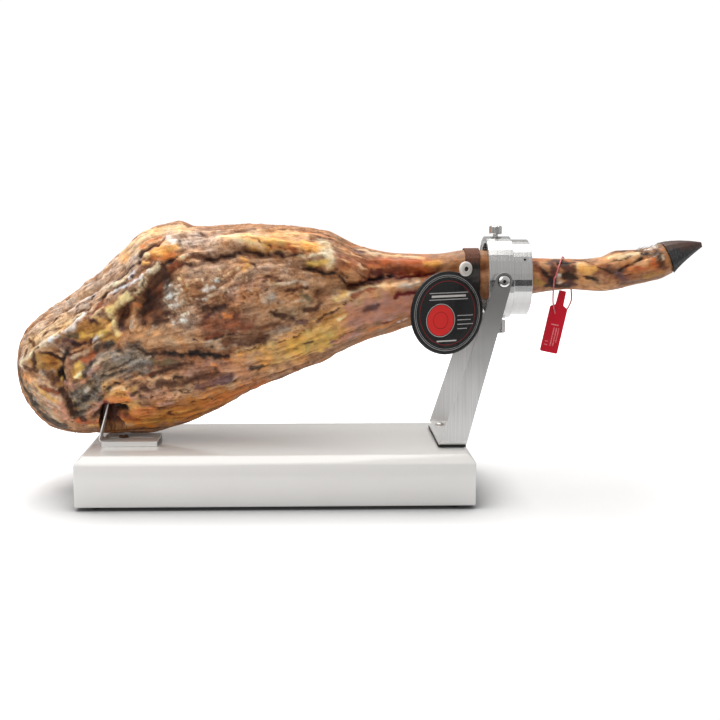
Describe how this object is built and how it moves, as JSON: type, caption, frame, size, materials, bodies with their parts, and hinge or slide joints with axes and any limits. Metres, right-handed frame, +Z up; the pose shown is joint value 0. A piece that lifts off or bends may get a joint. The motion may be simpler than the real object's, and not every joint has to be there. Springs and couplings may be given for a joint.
{
  "type": "cured ham on a ham stand",
  "caption": "Whole cured ham on the bone, its shank clamped in a tilting collar on a leaning bracket and its butt resting on a spike plate, on a low lacquered plinth.",
  "frame": {"origin": "on the surface it stands on, under the centre of the whole part's box", "axes": "+X along the ham towards its hoof, +Y away from the side that the label is on, +Z up"},
  "size_m": [0.7986, 0.205, 0.3159],
  "materials": {
    "lacquer": "white high-gloss lacquer",
    "rubber": "matt black",
    "brushed_steel": "brushed",
    "satin_metal": "turned, satin",
    "dark_metal": "darkened, satin",
    "cured_meat": "dried lean and amber fat, semi-gloss",
    "horn": "black horn, satin",
    "label_plastic": "gloss, printed face",
    "button_plastic": "white, satin",
    "webbing": "woven black tape",
    "seal_plastic": "red moulded plastic"
  },
  "bodies": {
    "stand": {"plinth": "lacquer", "foot_left_near": "rubber", "foot_left_far": "rubber", "foot_right_near": "rubber", "foot_right_far": "rubber", "bracket": "brushed_steel", "bracket_pad": "rubber", "bracket_screw_near": "satin_metal", "bracket_screw_far": "satin_metal", "spike_plate": "brushed_steel", "spike_bolt": "dark_metal"},
    "head": {"collar_outer": "satin_metal", "collar_inner": "satin_metal", "set_screw": "dark_metal", "pivot_screw_near": "satin_metal", "pivot_screw_far": "satin_metal", "clamp_screw_top": "satin_metal", "clamp_screw_bottom": "satin_metal", "ham": "cured_meat", "claw_near": "horn", "claw_far": "horn", "label_disc": "label_plastic", "label_button": "button_plastic", "label_strap": "webbing", "seal_tag": "seal_plastic"}
  },
  "joints": [
    {"name": "head_tilt", "type": "hinge", "parent": "stand", "child": "head", "pos_m": [0.15825, 0, 0.251], "axis": [0, 1, 0], "range_deg": [0, 25]}
  ]
}
